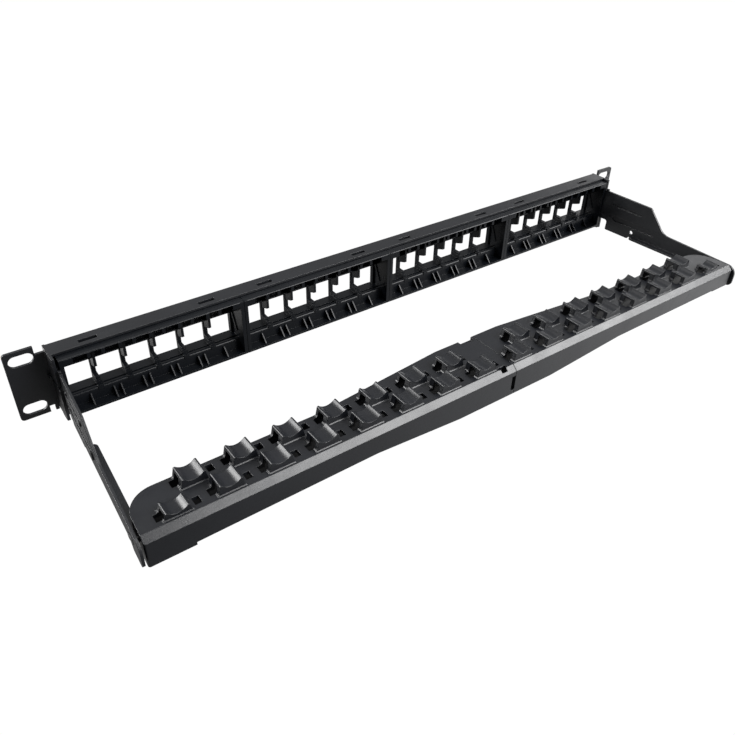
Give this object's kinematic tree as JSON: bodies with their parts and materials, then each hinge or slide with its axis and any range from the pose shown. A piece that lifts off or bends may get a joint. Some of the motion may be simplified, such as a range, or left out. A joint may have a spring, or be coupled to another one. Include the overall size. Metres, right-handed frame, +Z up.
{
  "type": "patch panel",
  "caption": "Rack-mount patch panel: folded steel frame with slotted ears, snap-in modules with open jack windows, and a pull-off rear cable bar with moulded saddles.",
  "frame": {"origin": "centre of the rack mounting plane: midway between the four ear slots, on the rear face of the ears", "axes": "+X along the panel, the front faces -Y, the cable bar reaches towards +Y, +Z up"},
  "size_m": [0.4826, 0.136, 0.0474],
  "materials": {
    "frame_steel": "satin black powder coat",
    "arm_steel": "satin black powder coat",
    "module_plastic": "fine satin mould texture",
    "tray_plastic": "fine satin mould texture",
    "label_card": "blank white card",
    "label_cover": "clear polished"
  },
  "bodies": {
    "frame": {"panel_frame": "frame_steel"},
    "module_1": {"port_module_1": "module_plastic", "label_card_1": "label_card", "label_cover_1": "label_cover"},
    "module_2": {"port_module_2": "module_plastic", "label_card_2": "label_card", "label_cover_2": "label_cover"},
    "module_3": {"port_module_3": "module_plastic", "label_card_3": "label_card", "label_cover_3": "label_cover"},
    "module_4": {"port_module_4": "module_plastic", "label_card_4": "label_card", "label_cover_4": "label_cover"},
    "cable_bar": {"arm_right": "arm_steel", "arm_left": "arm_steel", "tray_right": "tray_plastic", "tray_left": "tray_plastic", "tray_joiner": "tray_plastic"}
  },
  "joints": [
    {"name": "module_1_slide", "type": "slide", "parent": "frame", "child": "module_1", "axis": [0, 1, 0], "range_m": [0, 0.02]},
    {"name": "module_2_slide", "type": "slide", "parent": "frame", "child": "module_2", "axis": [0, 1, 0], "range_m": [0, 0.02]},
    {"name": "module_3_slide", "type": "slide", "parent": "frame", "child": "module_3", "axis": [0, 1, 0], "range_m": [0, 0.02]},
    {"name": "module_4_slide", "type": "slide", "parent": "frame", "child": "module_4", "axis": [0, 1, 0], "range_m": [0, 0.02]},
    {"name": "cable_bar_slide", "type": "slide", "parent": "frame", "child": "cable_bar", "axis": [0, 1, 0], "range_m": [0, 0.03]}
  ]
}
